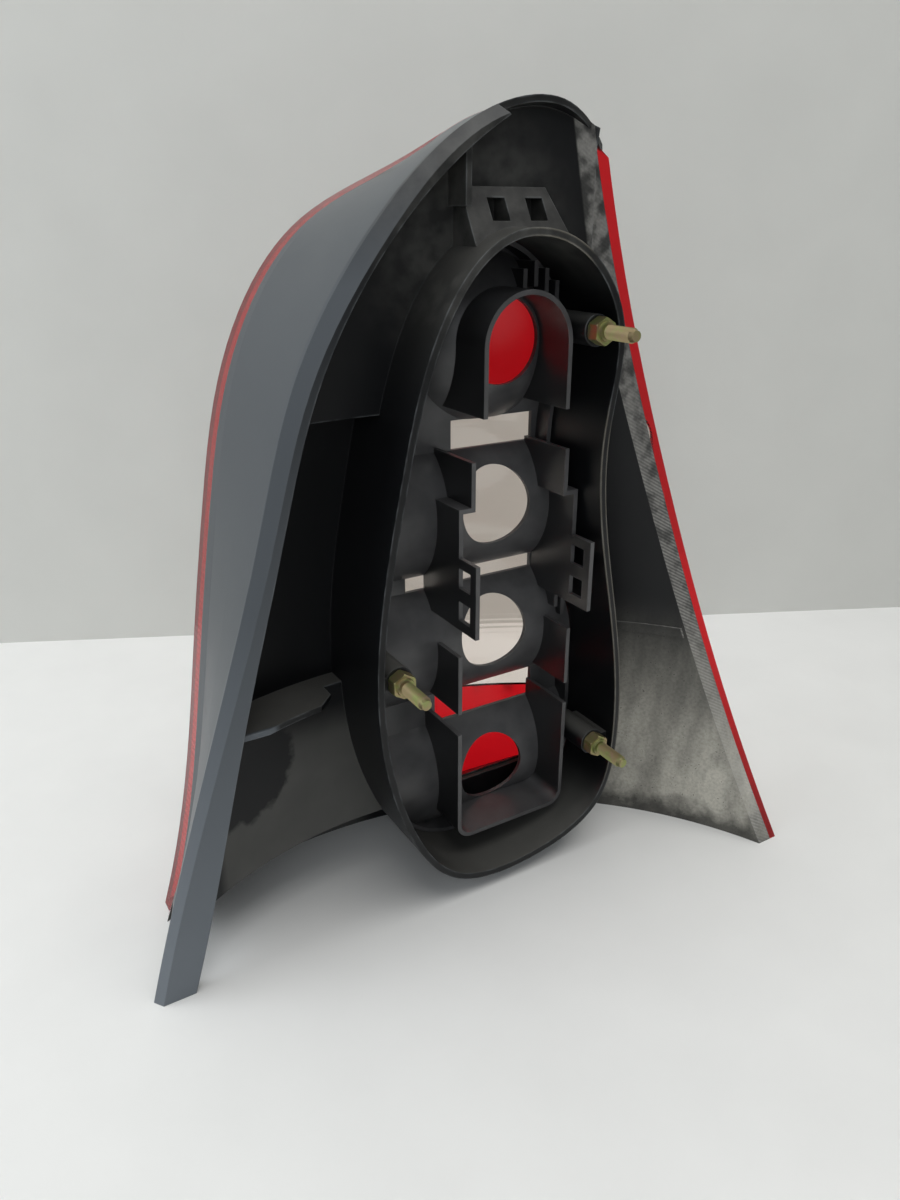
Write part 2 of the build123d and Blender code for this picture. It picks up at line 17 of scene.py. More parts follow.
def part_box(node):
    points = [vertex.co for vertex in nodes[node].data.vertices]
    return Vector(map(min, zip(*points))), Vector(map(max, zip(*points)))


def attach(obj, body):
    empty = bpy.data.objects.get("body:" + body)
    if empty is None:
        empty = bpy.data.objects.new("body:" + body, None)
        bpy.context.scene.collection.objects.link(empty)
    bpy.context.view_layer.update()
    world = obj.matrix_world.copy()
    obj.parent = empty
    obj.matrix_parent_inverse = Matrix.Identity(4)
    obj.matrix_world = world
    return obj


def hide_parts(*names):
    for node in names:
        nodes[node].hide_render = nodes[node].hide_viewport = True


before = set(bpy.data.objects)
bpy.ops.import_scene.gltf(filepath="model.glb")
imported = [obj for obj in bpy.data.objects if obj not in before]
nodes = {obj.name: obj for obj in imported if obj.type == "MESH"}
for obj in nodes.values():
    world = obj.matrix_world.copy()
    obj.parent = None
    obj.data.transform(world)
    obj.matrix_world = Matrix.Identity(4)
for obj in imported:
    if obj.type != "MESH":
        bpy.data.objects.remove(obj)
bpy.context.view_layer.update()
MM = 0.001
print("nodes:", sorted(nodes))

# %% [markdown]
# ## Camera
#
# The photograph was taken with a phone, close to the lamp and a little above it. A phone's main
# lens is short, so the lower corners spread apart. The camera's place was found from the lines of
# the lamp. The picture is upright, so Blender's 36 mm sensor lies along its long side.

# %% Camera
CAMERA_PLACE = Vector((-193, -313, 300)) * MM
CAMERA_YAW = math.radians(-31)
CAMERA_PITCH = math.radians(23)
CAMERA_LENS = 27.0
SENSOR_WIDTH = 36.0
NEAREST_SEEN = 10 * MM

camera_data = bpy.data.cameras.new("camera")
camera_data.lens = CAMERA_LENS
camera_data.sensor_width = SENSOR_WIDTH
camera_data.clip_start = NEAREST_SEEN
camera = bpy.data.objects.new("camera", camera_data)
camera.location = CAMERA_PLACE
camera.rotation_euler = (math.pi / 2 - CAMERA_PITCH, 0, CAMERA_YAW)
bpy.context.scene.collection.objects.link(camera)
bpy.context.scene.camera = camera
bpy.context.scene.view_settings.view_transform = "Standard"
print("camera at", tuple(round(v, 3) for v in camera.location))

# %% [markdown]
# ## Colours and nodes
#
# Colours are written as the hex values that a paint program shows. Shaders work with linear light,
# so one function converts them. Another small function adds a node, sets its properties and fills
# or links its inputs. A node that is given as an input stands for its first output, which keeps
# the materials below short enough to read.
#
# Most of the work is done by Map Range nodes. Input 0 is a value, inputs 1 and 2 are the limits
# between which it fades, and inputs 3 and 4 are what comes out at them. Both pairs are 0 and 1
# where nothing else is said.

# %% Helpers for materials


def linear(hex_colour):
    """Linear RGBA of an sRGB hex colour."""
    channels = [int(hex_colour[i:i + 2], 16) / 255 for i in (1, 3, 5)]
    return [c / 12.92 if c <= 0.04045 else ((c + 0.055) / 1.055) ** 2.4 for c in channels] + [1.0]


def fill(tree, node, inputs):
    """Sets or links a node's inputs."""
    for key, value in inputs.items():
        if isinstance(value, bpy.types.Node):
            value = value.outputs[0]
        if isinstance(value, bpy.types.NodeSocket):
            tree.links.new(value, node.inputs[key])
        else:
            node.inputs[key].default_value = value


def add_node(tree, kind, inputs=None, **settings):
    """Adds a shader node with its properties and inputs."""
    node = tree.nodes.new("ShaderNode" + kind)
    for name, value in settings.items():
        setattr(node, name, value)
    fill(tree, node, inputs or {})
    return node


def new_material(name):
    """A node material with its tree, its Principled shader and its Object coordinates."""
    material = bpy.data.materials.new(name)
    material.use_nodes = True
    tree = material.node_tree
    place = add_node(tree, "TexCoord").outputs["Object"]
    return material, tree, tree.nodes["Principled BSDF"], place


def feature_scale(size_mm):
    """Noise scale whose features are about size_mm wide."""
    return 1 / (size_mm * MM)


def band_scale(pitch_mm):
    """Wave scale whose bands repeat every pitch_mm: the node multiplies its scale by 20 radians."""
    return 2 * math.pi / (20 * pitch_mm * MM)


print("helpers ready; mid grey #808080 is", round(linear("#808080")[0], 3), "in linear light")

# %% [markdown]
# ## Black moulded ABS
#
# The housing is injection-moulded ABS in black. Its surface is satin, so it turns grey where it
# mirrors the bright room at a flat angle. All patterns use Object coordinates, which are the lamp's
# own metres, so dust can be laid on by place: "right of x, below z, and on faces that look up".
# Each kind of dirt below becomes one share between 0 and 1. Three noises break it up, and a fourth
# is the mould's grain.

# %% Housing plastic: coordinates and noises
SMEAR_SIZE = 30.0
BLOTCH_SIZE = 8.0
SPECK_SIZE = 1.6
GRAIN_SIZE = 0.7

housing_plastic, tree, shader, place = new_material("black_moulded_abs")
x, y, z = add_node(tree, "SeparateXYZ", {0: place}).outputs
surface = add_node(tree, "NewGeometry").outputs["Normal"]
facing_x, _, facing_z = add_node(tree, "SeparateXYZ", {0: surface}).outputs
noise_sizes = ((SMEAR_SIZE, 3.0), (BLOTCH_SIZE, 4.0), (SPECK_SIZE, 2.0), (GRAIN_SIZE, 1.0))
smears, blotches, specks, grain = (
    add_node(tree, "TexNoise", {"Vector": place, "Scale": feature_scale(size), "Detail": detail})
    for size, detail in noise_sizes)
print("noises:", SMEAR_SIZE, BLOTCH_SIZE, SPECK_SIZE, GRAIN_SIZE, "mm")

# %% [markdown]
# The right-hand panel sat low on the car, close to the wheel. Road dust lies on it like a soft
# gradient: nothing at the top, thick and pale at the foot, with fine specks and pits in it. Water
# has run down it in long streaks, and a ragged dark band is left along the lower edge.

# %% Road dust on the right-hand panel
DUST_STARTS = 74 * MM
DUST_SETTLED = 100 * MM
DUST_TOP = 130 * MM
DUST_FOOT = 26 * MM
FOOT_RAGGED = 24 * MM
FOOT_DARK = -10 * MM
FOOT_DUSTY = 4 * MM
RUN_WIDTH = 14.0
RUN_STRETCH = (1.0, 1.0, 0.3)

right_side = add_node(tree, "MapRange", {0: x, 1: DUST_STARTS, 2: DUST_SETTLED},
                      interpolation_type="SMOOTHSTEP")
low_down = add_node(tree, "MapRange", {0: z, 1: DUST_TOP, 2: DUST_FOOT},
                    interpolation_type="SMOOTHSTEP")
uneven_z = add_node(tree, "Math", {0: blotches, 1: -FOOT_RAGGED, 2: z}, operation="MULTIPLY_ADD")
over_edge = add_node(tree, "MapRange", {0: uneven_z, 1: FOOT_DARK, 2: FOOT_DUSTY, 3: 0.2})
speckled = add_node(tree, "MapRange", {0: specks, 1: 0.3, 2: 0.7, 3: 0.72})
pitted = add_node(tree, "MapRange", {0: specks, 1: 0.66, 2: 0.72, 3: 1.0, 4: 0.45})
cloudy = add_node(tree, "MapRange", {0: smears, 1: 0.3, 2: 0.7, 3: 0.7})
stretched = add_node(tree, "Mapping", {"Vector": place, "Scale": RUN_STRETCH})
runs = add_node(tree, "TexNoise",
                {"Vector": stretched, "Scale": feature_scale(RUN_WIDTH), "Detail": 4.0})
washed = add_node(tree, "MapRange", {0: runs, 1: 0.36, 2: 0.6, 3: 0.58})
road_dust = right_side
for share in (low_down, over_edge, speckled, pitted, cloudy, washed):
    road_dust = add_node(tree, "Math", {0: road_dust, 1: share}, operation="MULTIPLY")
print("road dust from z =", round(DUST_TOP / MM), "mm down to", round(DUST_FOOT / MM), "mm")

# %% [markdown]
# A thin grey film lies on everything that looks up: the shelf, the lug above the pan and the top of
# the pan's collar. The lower left panel carries a film too, except for a round patch near the
# flange, which is left dark. Adding noise to the distance from the patch's middle makes its edge
# ragged. Streaky dust also lies round the lug.

# %% Film of dust
LOW_FILM_RIGHT = -20 * MM
LOW_FILM_LEFT = -34 * MM
LOW_FILM_TOP = 104 * MM
LOW_FILM_FULL = 84 * MM
FLANGE_BACK = -6 * MM
PANEL_FRONT = -4 * MM
PATCH_MIDDLE = (-104 * MM, 6 * MM, 88 * MM)
PATCH_RADIUS = 30 * MM
PATCH_RAGGED = 12 * MM
PATCH_EDGE = 2.5 * MM
LUG_MIDDLE = (5 * MM, -12 * MM, 294 * MM)
LUG_NEAR = 22 * MM
LUG_FAR = 62 * MM

looking_up = add_node(tree, "MapRange", {0: facing_z, 1: 0.2, 2: 0.95},
                      interpolation_type="SMOOTHSTEP")
film = add_node(tree, "Math", {0: looking_up, 1: cloudy}, operation="MULTIPLY")
left_side = add_node(tree, "MapRange", {0: x, 1: LOW_FILM_RIGHT, 2: LOW_FILM_LEFT},
                     interpolation_type="SMOOTHSTEP")
under_shelf = add_node(tree, "MapRange", {0: z, 1: LOW_FILM_TOP, 2: LOW_FILM_FULL},
                       interpolation_type="SMOOTHSTEP")
behind_flange = add_node(tree, "MapRange", {0: y, 1: FLANGE_BACK, 2: PANEL_FRONT})
from_patch = add_node(tree, "VectorMath", {0: place, 1: PATCH_MIDDLE}, operation="DISTANCE")
ragged = add_node(tree, "Math", {0: blotches, 1: PATCH_RAGGED, 2: from_patch.outputs["Value"]},
                  operation="MULTIPLY_ADD")
outside_patch = add_node(tree, "MapRange",
                         {0: ragged, 1: PATCH_RADIUS, 2: PATCH_RADIUS + PATCH_EDGE})
inside = add_node(tree, "MapRange", {0: facing_x, 1: -0.3, 2: -0.1})
low_film = left_side
for share in (under_shelf, behind_flange, outside_patch, inside, cloudy):
    low_film = add_node(tree, "Math", {0: low_film, 1: share}, operation="MULTIPLY")
from_lug = add_node(tree, "VectorMath", {0: place, 1: LUG_MIDDLE}, operation="DISTANCE")
near_lug = add_node(tree, "MapRange", {0: from_lug.outputs["Value"], 1: LUG_FAR, 2: LUG_NEAR},
                    interpolation_type="SMOOTHSTEP")
streaky = add_node(tree, "MapRange", {0: blotches, 1: 0.35, 2: 0.65, 3: 0.35})
lug_dust = add_node(tree, "Math", {0: near_lug, 1: streaky}, operation="MULTIPLY")
print("clean patch of", round(PATCH_RADIUS / MM), "mm radius at the lower left")

# %% [markdown]
# The narrow end face beside the lens has a fine diagonal hatch, which holds pale dust. It is the
# only face on the right that doesn't turn sideways, so its normal tells it apart, and a sloping
# line, x plus 0.22 of z, keeps it clear of the pan. A wave texture draws the hatch: the Mapping
# node turns it to run down to the right. Near the top dirt has clogged the hatch.

# %% Hatched end face
HATCH_PITCH = 1.4
HATCH_TURN = math.radians(60)
END_SLOPE = 0.22
END_STARTS = 127 * MM
END_FULL = 128 * MM
CLOG_STARTS = 170 * MM
CLOG_FULL = 240 * MM
CRUMBS_ABOVE = 250 * MM
EVEN_BELOW = 110 * MM

sideways = add_node(tree, "Math", {0: facing_x}, operation="ABSOLUTE")
straight = add_node(tree, "MapRange", {0: sideways, 1: 0.12, 2: 0.05})
along_end = add_node(tree, "Math", {0: z, 1: END_SLOPE, 2: x}, operation="MULTIPLY_ADD")
beside_lens = add_node(tree, "MapRange", {0: along_end, 1: END_STARTS, 2: END_FULL})
end_face = add_node(tree, "Math", {0: straight, 1: beside_lens}, operation="MULTIPLY")
turned = add_node(tree, "Mapping", {"Vector": place, "Rotation": (0, HATCH_TURN, 0)})
hatch = add_node(tree, "TexWave",
                 {"Vector": turned, "Scale": band_scale(HATCH_PITCH), "Distortion": 0.3},
                 bands_direction="X").outputs[1]
clogged = add_node(tree, "MapRange", {0: z, 1: CLOG_STARTS, 2: CLOG_FULL, 3: 0.45, 4: 0.95})
held_dust = add_node(tree, "MapRange", {0: hatch, 1: 0.2, 2: 0.9, 3: clogged})
crumbs = add_node(tree, "MapRange", {0: blotches, 1: 0.4, 2: 0.6, 3: 0.35, 4: 0.8})
paler_below = add_node(tree, "MapRange", {0: z, 1: CRUMBS_ABOVE, 2: EVEN_BELOW, 3: crumbs})
grubby = add_node(tree, "MapRange", {0: blotches, 1: 0.36, 2: 0.52, 3: 0.45})
strip_dust = end_face
for share in (held_dust, paler_below, speckled, grubby):
    strip_dust = add_node(tree, "Math", {0: strip_dust, 1: share}, operation="MULTIPLY")
print("hatch of", HATCH_PITCH, "mm")

# %% [markdown]
# The outside of the skirt, the flange and its tongue catch the light from the left, from above and
# from the bright floor. There the black is painted a bluish grey, a painted sheen, and on the
# flange's front face partly wear as well. It is painted strongest near the foot, while the flange's
# upper end is left black. A sloping line, x less 0.3 of z, parts this left edge from the pan beside
# it. The skirt is told by its normal, which looks left or up, and the flange by its place in front
# of the panels.

# %% Painted sheen on the left edge
EDGE_SLOPE = -0.3
EDGE_STARTS = -112 * MM
EDGE_FULL = -114 * MM
TOP_STARTS = 316 * MM
TOP_FULL = 318 * MM
FRONT_STARTS = -8 * MM
FRONT_FULL = -9 * MM
SHEEN_ENDS = 285 * MM
SHEEN_FULL = 20 * MM
TIP_STARTS = 278 * MM
TIP_FULL = 312 * MM
SKIRT_SHARE = 0.5
TIP_SHARE = 0.12

along_edge = add_node(tree, "Math", {0: z, 1: EDGE_SLOPE, 2: x}, operation="MULTIPLY_ADD")
left_edge = add_node(tree, "MapRange", {0: along_edge, 1: EDGE_STARTS, 2: EDGE_FULL})
near_top = add_node(tree, "MapRange", {0: z, 1: TOP_STARTS, 2: TOP_FULL})
looking_left = add_node(tree, "MapRange", {0: facing_x, 1: -0.1, 2: -0.3})
skirt_left = add_node(tree, "Math", {0: left_edge, 1: looking_left}, operation="MULTIPLY")
skirt_top = add_node(tree, "Math", {0: near_top, 1: looking_up}, operation="MULTIPLY")
skirt = add_node(tree, "Math", {0: skirt_left, 1: skirt_top}, operation="MAXIMUM")
in_front = add_node(tree, "MapRange", {0: y, 1: FRONT_STARTS, 2: FRONT_FULL})
tip_share = add_node(tree, "MapRange",
                     {0: z, 1: TIP_STARTS, 2: TIP_FULL, 3: SKIRT_SHARE, 4: TIP_SHARE})
skirt_share = add_node(tree, "MapRange", {0: in_front, 3: SKIRT_SHARE, 4: tip_share})
skirt = add_node(tree, "Math", {0: skirt, 1: skirt_share}, operation="MULTIPLY")
fading = add_node(tree, "MapRange", {0: z, 1: SHEEN_ENDS, 2: SHEEN_FULL, 4: 1.1})
flange = left_edge
for share in (in_front, fading):
    flange = add_node(tree, "Math", {0: flange, 1: share}, operation="MULTIPLY")
# The grey laid on here is a painted sheen: light caught by the skirt, the flange and its tongue.
painted_sheen = add_node(tree, "Math", {0: skirt, 1: flange}, operation="MAXIMUM")
on_edge = add_node(tree, "Math", {0: left_edge, 1: near_top}, operation="MAXIMUM")
on_flange = add_node(tree, "Math", {0: on_edge, 1: in_front}, operation="MULTIPLY")
print("flange weathered from the foot up to z =", round(SHEEN_ENDS / MM), "mm")

# %% [markdown]
# Now the shares lay their colours over the black, one after the other: the film, the road dust, the
# dust in the hatch and the grey of the painted sheen. Each has a strength, because no dirt or sheen
# covers fully. No film lies on the flange.

# %% Housing plastic: black, its dirt and the painted sheen
ABS_BLACK = linear("#0d0e10")
ROAD_DUST = linear("#d9d5c8")
FILM_GREY = linear("#807f7a")
STRIP_GREY = linear("#a9a7a2")
# The bluish grey of the left edge is a painted sheen, the black plastic catching the cool light.
PAINTED_SHEEN_GREY = linear("#686e74")
FILM_STRENGTH = 0.38
LOW_FILM_STRENGTH = 0.34
LUG_STRENGTH = 0.26
ROAD_STRENGTH = 0.95
STRIP_STRENGTH = 0.75
PAINTED_SHEEN_STRENGTH = 0.9

film_strength = add_node(tree, "MapRange", {0: on_flange, 3: FILM_STRENGTH, 4: 0.0})
film_share = add_node(tree, "Math", {0: film, 1: film_strength}, operation="MULTIPLY")
for share, strength in ((low_film, LOW_FILM_STRENGTH), (lug_dust, LUG_STRENGTH)):
    amount = add_node(tree, "Math", {0: share, 1: strength}, operation="MULTIPLY")
    film_share = add_node(tree, "Math", {0: film_share, 1: amount}, operation="MAXIMUM")
colour = add_node(tree, "Mix", {0: film_share, 6: ABS_BLACK, 7: FILM_GREY}, data_type="RGBA")
for share, strength, dirt in ((road_dust, ROAD_STRENGTH, ROAD_DUST),
                              (strip_dust, STRIP_STRENGTH, STRIP_GREY),
                              (painted_sheen, PAINTED_SHEEN_STRENGTH, PAINTED_SHEEN_GREY)):
    amount = add_node(tree, "Math", {0: share, 1: strength}, operation="MULTIPLY")
    colour = add_node(tree, "Mix", {0: amount, 6: colour.outputs[2], 7: dirt}, data_type="RGBA")
print("laid over black: film, road dust, hatch dust and weathered grey")

# %% [markdown]
# Edges that stick out are painted pale: partly wear, partly painted highlights where the edges
# catch the light. The Ambient Occlusion node finds them: it is set to look into the solid, where it
# meets another face within a millimetre only beside such an edge. Noise breaks the line, and it is
# weaker on the dusty right. Along the outer edge of the pan's right-hand rim runs a cream line, a
# painted highlight where the rim catches the light.

# %% Housing plastic: pale edges, wear and painted highlights
# The pale edge grey is partly wear and partly painted highlight; the cream line is a painted
# highlight.
WORN_AND_HIGHLIT_GREY = linear("#7d8184")
RIM_HIGHLIGHT_CREAM = linear("#cfc6b2")
EDGE_LINE_WIDTH = 0.9 * MM
RIM_STARTS = -22 * MM
RIM_FULL = -23.5 * MM
RIM_LEFT_STARTS = 76 * MM
RIM_LEFT_FULL = 86 * MM
RIM_RIGHT_FULL = 106 * MM
RIM_RIGHT_ENDS = 110 * MM

covered = add_node(tree, "AmbientOcclusion", {"Distance": EDGE_LINE_WIDTH}, inside=True,
                   only_local=True, samples=8).outputs["AO"]
rubbed_and_highlit = add_node(tree, "MapRange", {0: blotches, 1: 0.42, 2: 0.66, 3: 0.04, 4: 0.4})
worn_and_highlit = add_node(tree, "MapRange", {0: covered, 1: 0.9, 2: 0.55, 4: rubbed_and_highlit})
less_on_right = add_node(tree, "MapRange", {0: right_side, 3: 1.0, 4: 0.25})
worn_and_highlit = add_node(tree, "Math", {0: worn_and_highlit, 1: less_on_right}, operation="MULTIPLY")
colour = add_node(tree, "Mix", {0: worn_and_highlit, 6: colour.outputs[2], 7: WORN_AND_HIGHLIT_GREY}, data_type="RGBA")
on_rim = add_node(tree, "MapRange", {0: y, 1: RIM_STARTS, 2: RIM_FULL})
right_rim = add_node(tree, "MapRange", {0: along_end, 1: RIM_LEFT_STARTS, 2: RIM_LEFT_FULL})
not_strip = add_node(tree, "MapRange", {0: along_end, 1: RIM_RIGHT_ENDS, 2: RIM_RIGHT_FULL})
outer_side = add_node(tree, "MapRange", {0: facing_x, 1: 0.1, 2: 0.4, 3: 0.25})
rim_highlight = add_node(tree, "MapRange", {0: covered, 1: 0.95, 2: 0.7, 4: 0.7})
for share in (on_rim, right_rim, not_strip, outer_side):
    rim_highlight = add_node(tree, "Math", {0: rim_highlight, 1: share}, operation="MULTIPLY")
colour = add_node(tree, "Mix", {0: rim_highlight, 6: colour.outputs[2], 7: RIM_HIGHLIGHT_CREAM},
                  data_type="RGBA")
print("edges rubbed over", round(EDGE_LINE_WIDTH / MM, 1), "mm")

# %% [markdown]
# Clean ABS is satin and dust is dull. The Bevel node rounds the shading of sharp edges, as every
# moulded edge is rounded a little. A bump adds the hatch and the mould's grain, which is drawn
# coarse enough to show.

# %% Housing plastic: gloss and relief
ABS_IOR = 1.53
SATIN_SPECULAR = 0.27
SATIN_ROUGHNESS = 0.4
DUST_ROUGHNESS = 0.85
EDGE_ROUNDING = 0.5 * MM
GRAIN_SHARE = 0.3
RELIEF_DEPTH = 0.3 * MM
RELIEF_STRENGTH = 0.2

dusty = add_node(tree, "Math", {0: road_dust, 1: strip_dust}, operation="MAXIMUM")
gloss = add_node(tree, "MapRange", {0: dusty, 3: SATIN_ROUGHNESS, 4: DUST_ROUGHNESS})
rounded = add_node(tree, "Bevel", {"Radius": EDGE_ROUNDING}, samples=8)
hatch_relief = add_node(tree, "Math", {0: hatch, 1: end_face}, operation="MULTIPLY")
relief = add_node(tree, "Math", {0: grain, 1: GRAIN_SHARE, 2: hatch_relief},
                  operation="MULTIPLY_ADD")
bump = add_node(tree, "Bump", {"Height": relief, "Strength": RELIEF_STRENGTH,
                               "Distance": RELIEF_DEPTH, "Normal": rounded})
fill(tree, shader, {"Base Color": colour.outputs[2], "Roughness": gloss, "IOR": ABS_IOR,
                    "Specular IOR Level": SATIN_SPECULAR, "Normal": bump})
print("material:", housing_plastic.name)

# %% [markdown]
# ## Reflector
#
# The reflector is moulded in the same black plastic, a little glossier because its mould is
# polished. A grey is laid on what looks back at us or up: on faces looking up it is a film of dust,
# on faces looking back it is partly dust and partly painted light from the front. So the walls'
# sides stay darkest. Their edges draw pale lines, partly wear and partly painted highlights. The
# lens side is coated with bright aluminium vapour. The coating is only on faces that look towards
# the lens, so the side that we see stays black.

# %% Reflector plastic with a metallised lens side
REFLECTOR_BLACK = linear("#0f1012")
REFLECTOR_FILM_AND_LIGHT = linear("#7a797a")
ALUMINIUM_VAPOUR = linear("#d9dbdd")
STREAK_SIZE = 12.0

reflector_plastic, tree, shader, place = new_material("black_abs_metallised_lens_side")
surface = add_node(tree, "NewGeometry").outputs["Normal"]
_, facing_y, facing_z = add_node(tree, "SeparateXYZ", {0: surface}).outputs
coated = add_node(tree, "MapRange", {0: facing_y, 1: 0.15, 2: 0.25})
streaks = add_node(tree, "TexNoise",
                   {"Vector": place, "Scale": feature_scale(STREAK_SIZE), "Detail": 4.0})
# Faces that look back towards the front are painted lighter: partly dust, partly painted light.
front_lit_and_dusty = add_node(tree, "MapRange", {0: facing_y, 1: -0.1, 2: -0.75, 3: 0.06, 4: 0.4})
looking_up = add_node(tree, "MapRange", {0: facing_z, 1: 0.0, 2: 0.8, 4: 0.4})
film = add_node(tree, "Math", {0: front_lit_and_dusty, 1: looking_up}, operation="MAXIMUM")
patchy = add_node(tree, "MapRange", {0: streaks, 1: 0.3, 2: 0.7, 3: 0.6})
film = add_node(tree, "Math", {0: film, 1: patchy}, operation="MULTIPLY")
# The pale edge lines below are partly wear and partly painted highlights.
covered = add_node(tree, "AmbientOcclusion", {"Distance": EDGE_LINE_WIDTH}, inside=True,
                   only_local=True, samples=8).outputs["AO"]
rubbed_and_highlit = add_node(tree, "MapRange", {0: streaks, 1: 0.4, 2: 0.65, 3: 0.08, 4: 0.5})
worn_and_highlit = add_node(tree, "MapRange", {0: covered, 1: 0.9, 2: 0.55, 4: rubbed_and_highlit})
film = add_node(tree, "Math", {0: film, 1: worn_and_highlit}, operation="MAXIMUM")
black = add_node(tree, "Mix", {0: film, 6: REFLECTOR_BLACK, 7: REFLECTOR_FILM_AND_LIGHT}, data_type="RGBA")
colour = add_node(tree, "Mix", {0: coated, 6: black.outputs[2], 7: ALUMINIUM_VAPOUR},
                  data_type="RGBA")
gloss = add_node(tree, "MapRange", {0: streaks, 1: 0.3, 2: 0.7, 3: 0.32, 4: 0.4})
fill(tree, shader, {"Base Color": colour.outputs[2], "Metallic": coated, "Roughness": gloss,
                    "IOR": ABS_IOR})
print("material:", reflector_plastic.name)

# %% [markdown]
# ## Lens
#
# The lens is acrylic in two colours, moulded in one go. It is polished outside and duller inside,
# where fine ribs spread the light. Red acrylic swallows all but red light. Seen on its cut edge it
# glows, because light runs along inside the sheet, so a small part of the red is a plain scattering
# colour.

# %% Lens acrylic
LENS_RED = linear("#f01824")
LENS_CLEAR = linear("#fdf3eb")
ACRYLIC_IOR = 1.49
ACRYLIC_SPECULAR = 0.3
POLISHED = 0.05
RIB_PITCH = 3.0
RIB_DEPTH = 0.3 * MM
RIB_STRENGTH = 0.06


def lens_acrylic(name, colour, see_through, inner_roughness):
    """Acrylic of one colour, polished outside and duller on its ribbed inside."""
    material, tree, shader, place = new_material(name)
    surface = add_node(tree, "NewGeometry").outputs["True Normal"]
    facing_y = add_node(tree, "SeparateXYZ", {0: surface}).outputs["Y"]
    gloss = add_node(tree, "MapRange",
                     {0: facing_y, 1: -0.1, 2: 0.1, 3: inner_roughness, 4: POLISHED})
    ribs = add_node(tree, "TexWave", {"Vector": place, "Scale": band_scale(RIB_PITCH)},
                    bands_direction="Z").outputs[1]
    bump = add_node(tree, "Bump",
                    {"Height": ribs, "Strength": RIB_STRENGTH, "Distance": RIB_DEPTH})
    fill(tree, shader, {"Base Color": colour, "Transmission Weight": see_through,
                        "Roughness": gloss, "IOR": ACRYLIC_IOR,
                        "Specular IOR Level": ACRYLIC_SPECULAR, "Normal": bump})
    print("material:", material.name)
    return material


red_acrylic = lens_acrylic("red_acrylic", LENS_RED, see_through=0.95, inner_roughness=0.35)
clear_acrylic = lens_acrylic("clear_acrylic", LENS_CLEAR, see_through=1.0, inner_roughness=0.1)

# %% [markdown]
# ## Studs
#
# The studs are steel with zinc plating that was passivated yellow. That coating shimmers between
# straw, green and pink, so the colour varies with two soft noises. Its skin scatters a little of
# the light, so it isn't fully metallic.

# %% Yellow-passivated zinc
ZINC_STRAW = linear("#a08f6c")
ZINC_GREEN = linear("#949a62")
ZINC_PINK = linear("#a88a7e")
TINT_SIZE = 5.0
BLUSH_SIZE = 3.0
ZINC_METALLIC = 0.8

zinc, tree, shader, place = new_material("yellow_passivated_zinc")
tint, blush = (
    add_node(tree, "TexNoise", {"Vector": place, "Scale": feature_scale(size), "Detail": detail})
    for size, detail in ((TINT_SIZE, 3.0), (BLUSH_SIZE, 4.0)))
greenish = add_node(tree, "MapRange", {0: tint, 1: 0.42, 2: 0.6})
pinkish = add_node(tree, "MapRange", {0: blush, 1: 0.6, 2: 0.75})
colour = add_node(tree, "Mix", {0: greenish, 6: ZINC_STRAW, 7: ZINC_GREEN}, data_type="RGBA")
colour = add_node(tree, "Mix", {0: pinkish, 6: colour.outputs[2], 7: ZINC_PINK}, data_type="RGBA")
gloss = add_node(tree, "MapRange", {0: blush, 3: 0.32, 4: 0.5})
fill(tree, shader, {"Base Color": colour.outputs[2], "Metallic": ZINC_METALLIC,
                    "Roughness": gloss})
print("material:", zinc.name)

# %% [markdown]
# The CAD studs have a sharp hexagon and a plain shank. Here each one gets a real M6 thread, a
# hexagon with its corners taken off, a collar and a lead-in tip. bmesh's spin makes the thread: a
# wedge of two edges goes round the axis while each step also moves it along.

# %% Stud shape
HEX_FLATS = 10 * MM
HEX_THICKNESS = 5.5 * MM
STUD_REACH = 18 * MM
COLLAR_RADIUS = 4.2 * MM
COLLAR_TAPER = 0.92
COLLAR_LENGTH = 1.4 * MM
THREAD_PITCH = 1 * MM
THREAD_DEPTH = 0.6 * MM
THREAD_RADIUS = 3 * MM
THREAD_STEPS = 28
FLANK_SHARE = 0.42
TIP_LENGTH = 2.2 * MM
TIP_BASE_RADIUS = THREAD_RADIUS - THREAD_DEPTH * 0.6
TIP_END_RADIUS = THREAD_RADIUS - THREAD_DEPTH * 1.4
CORNER_BEVEL = 0.7 * MM
ROUND_SEGMENTS = 48
TOWARDS_CAR = Vector((0, -1, 0))


def along_stud(distance):
    """Matrix that turns +Z towards the car and moves a shape along the stud."""
    return Matrix.Translation(TOWARDS_CAR * distance) @ Matrix.Rotation(math.pi / 2, 4, "X")


def add_round(mesh, radius, tip_radius, start, length):
    """Closed cone or cylinder along the stud."""
    bmesh.ops.create_cone(mesh, cap_ends=True, segments=ROUND_SEGMENTS, radius1=radius,
                          radius2=tip_radius, depth=length, matrix=along_stud(start + length / 2))


def add_hexagon(mesh):
    """Hexagon with its corners taken off."""
    across_corners = 2 * HEX_FLATS / math.sqrt(3)
    hexagon = bmesh.ops.create_cone(mesh, cap_ends=True, segments=6, radius1=across_corners / 2,
                                    radius2=across_corners / 2, depth=HEX_THICKNESS,
                                    matrix=along_stud(HEX_THICKNESS / 2))
    bmesh.ops.bevel(mesh, geom=hexagon["verts"], offset=CORNER_BEVEL, affect="VERTICES",
                    segments=1, profile=0.5, material=-1)


